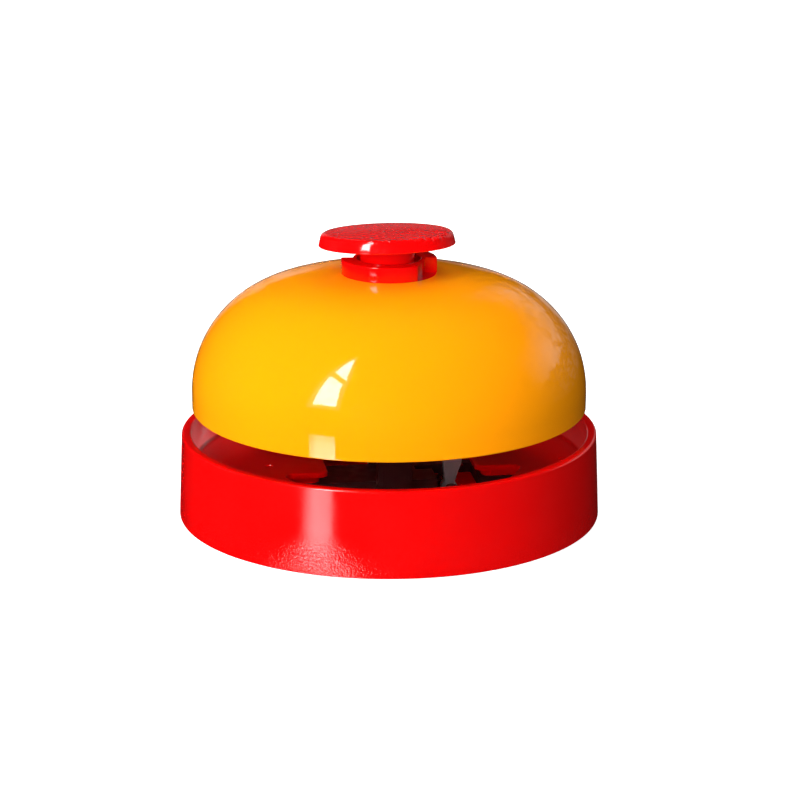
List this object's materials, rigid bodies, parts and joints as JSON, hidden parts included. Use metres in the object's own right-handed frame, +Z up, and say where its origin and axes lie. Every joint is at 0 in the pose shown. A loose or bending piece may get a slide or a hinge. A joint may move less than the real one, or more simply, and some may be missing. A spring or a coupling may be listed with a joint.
{
  "type": "service bell",
  "caption": "Push-button counter bell: a domed metal gong on a round plastic dish, struck from inside by a hinged hammer when the mushroom button is pressed.",
  "frame": {"origin": "middle of the bell's circle on the table plane, under the feet", "axes": "+Z up along the bell's axis; -Y towards the user; +X to the user's right, the side the hammer strikes"},
  "size_m": [0.065, 0.065, 0.0448],
  "materials": {
    "red_plastic": "gloss moulded plastic",
    "yellow_paint": "gloss enamel on steel",
    "black_plastic": "matt moulded plastic",
    "zinc_steel": "zinc plated",
    "spring_steel": "bright drawn wire",
    "brass": "turned",
    "rubber": "matt"
  },
  "bodies": {
    "bell": {"base_cup": "red_plastic", "base_cover": "red_plastic", "foot_pad_front": "rubber", "foot_pad_left": "rubber", "foot_pad_right": "rubber", "cover_screws": "zinc_steel", "striker_frame": "black_plastic", "frame_screws": "zinc_steel", "post_tube": "zinc_steel", "post_nut": "zinc_steel", "dome": "yellow_paint", "top_collar": "red_plastic", "dome_washer": "rubber", "dome_nut": "zinc_steel", "spring_washer": "zinc_steel", "return_spring": "spring_steel", "pivot_pin": "zinc_steel", "pivot_clips": "spring_steel"},
    "button": {"push_button": "red_plastic", "push_rod": "zinc_steel", "cone_cam": "brass", "cam_pin": "zinc_steel"},
    "hammer": {"hammer_arm": "zinc_steel", "hammer_head": "brass", "hammer_spring": "spring_steel"}
  },
  "joints": [
    {"name": "button_press", "type": "slide", "parent": "bell", "child": "button", "axis": [0, 0, -1], "range_m": [0, 0.0024], "stiffness_N_per_m": 180, "springref_m": -0.004, "deforming": ["return_spring"]},
    {"name": "hammer_swing", "type": "hinge", "parent": "bell", "child": "hammer", "pos_m": [0.00931, 0.00131, 0.00335], "axis": [-0.1392, 0.9903, 0], "range_deg": [0, 12.1]}
  ],
  "couplings": [
    {"joint": "hammer_swing", "follows": "button_press", "rad_per_m": 87.5}
  ]
}
